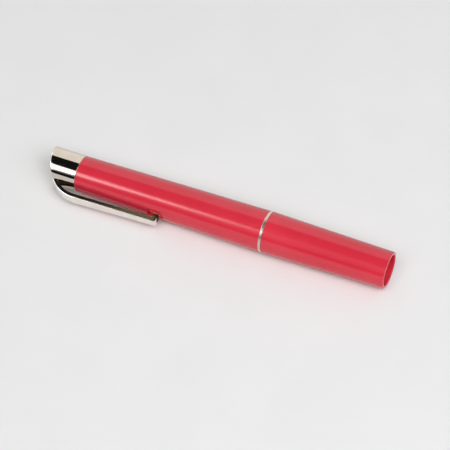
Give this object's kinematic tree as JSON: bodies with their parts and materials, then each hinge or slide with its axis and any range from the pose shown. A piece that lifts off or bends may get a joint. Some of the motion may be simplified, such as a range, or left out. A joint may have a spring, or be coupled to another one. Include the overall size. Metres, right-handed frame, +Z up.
{
  "type": "penlight",
  "caption": "Slim pocket penlight: tapered plastic barrel, screw-off head with an open lamp mouth, bright trim ring, nickel tail cap and a sprung clip that presses a contact.",
  "frame": {"origin": "centre of the lamp mouth in the plane of the head's rim, on the pen's axis", "axes": "+X runs along the pen and out of the mouth, +Z is up as the pen lies on a table, and the clip points towards -Y, 14.5 degrees below the horizontal"},
  "size_m": [0.1319, 0.0192, 0.0153],
  "materials": {
    "red_plastic": "smooth glossy moulded plastic",
    "nickel": "polished warm nickel plating",
    "brass": "plain drawn brass",
    "spring_steel": "drawn spring wire",
    "lamp_glass": "clear blown glass",
    "black_insulation": "matt black insulation",
    "cell_jacket": "printed film jacket, no print",
    "cell_filling": "plain drawn can",
    "cell_steel": "nickel-plated sheet steel",
    "tungsten": "fine grey wire"
  },
  "bodies": {
    "barrel": {"barrel": "red_plastic", "tail_cap": "nickel", "contact_strip": "brass", "tail_spring": "spring_steel", "thread_sleeve": "brass", "trim_ring": "nickel"},
    "clip": {"pocket_clip": "nickel"},
    "cells": {"rear_cell_can": "cell_filling", "rear_cell_jacket": "cell_jacket", "rear_cell_plate": "cell_steel", "rear_cell_nub": "cell_steel", "rear_cell_washer": "black_insulation", "front_cell_can": "cell_filling", "front_cell_jacket": "cell_jacket", "front_cell_plate": "cell_steel", "front_cell_nub": "cell_steel", "front_cell_washer": "black_insulation"},
    "head": {"head": "red_plastic", "lamp_socket": "brass", "lamp_shell": "brass", "lamp_insulator": "black_insulation", "lamp_solder_tip": "cell_steel", "lamp_glass": "lamp_glass", "lamp_stem": "lamp_glass", "lamp_left_lead": "spring_steel", "lamp_right_lead": "spring_steel", "lamp_filament": "tungsten"}
  },
  "joints": [
    {"name": "clip_press", "type": "hinge", "parent": "barrel", "child": "clip", "pos_m": [-0.12566, -0.00741, -0.00192], "axis": [0, -0.2504, 0.9681], "range_deg": [-3, 1.55], "stiffness_Nm_per_rad": 6},
    {"name": "head_travel", "type": "slide", "parent": "barrel", "child": "cells", "axis": [1, 0, 0], "range_m": [0, 0.006], "deforming": ["tail_spring"]},
    {"name": "head_turn", "type": "hinge", "parent": "cells", "child": "head", "pos_m": [0, 0, 0], "axis": [1, 0, 0], "range_deg": [0, 1080]}
  ],
  "couplings": [
    {"joint": "head_turn", "follows": "head_travel", "rad_per_m": 3141.6}
  ]
}
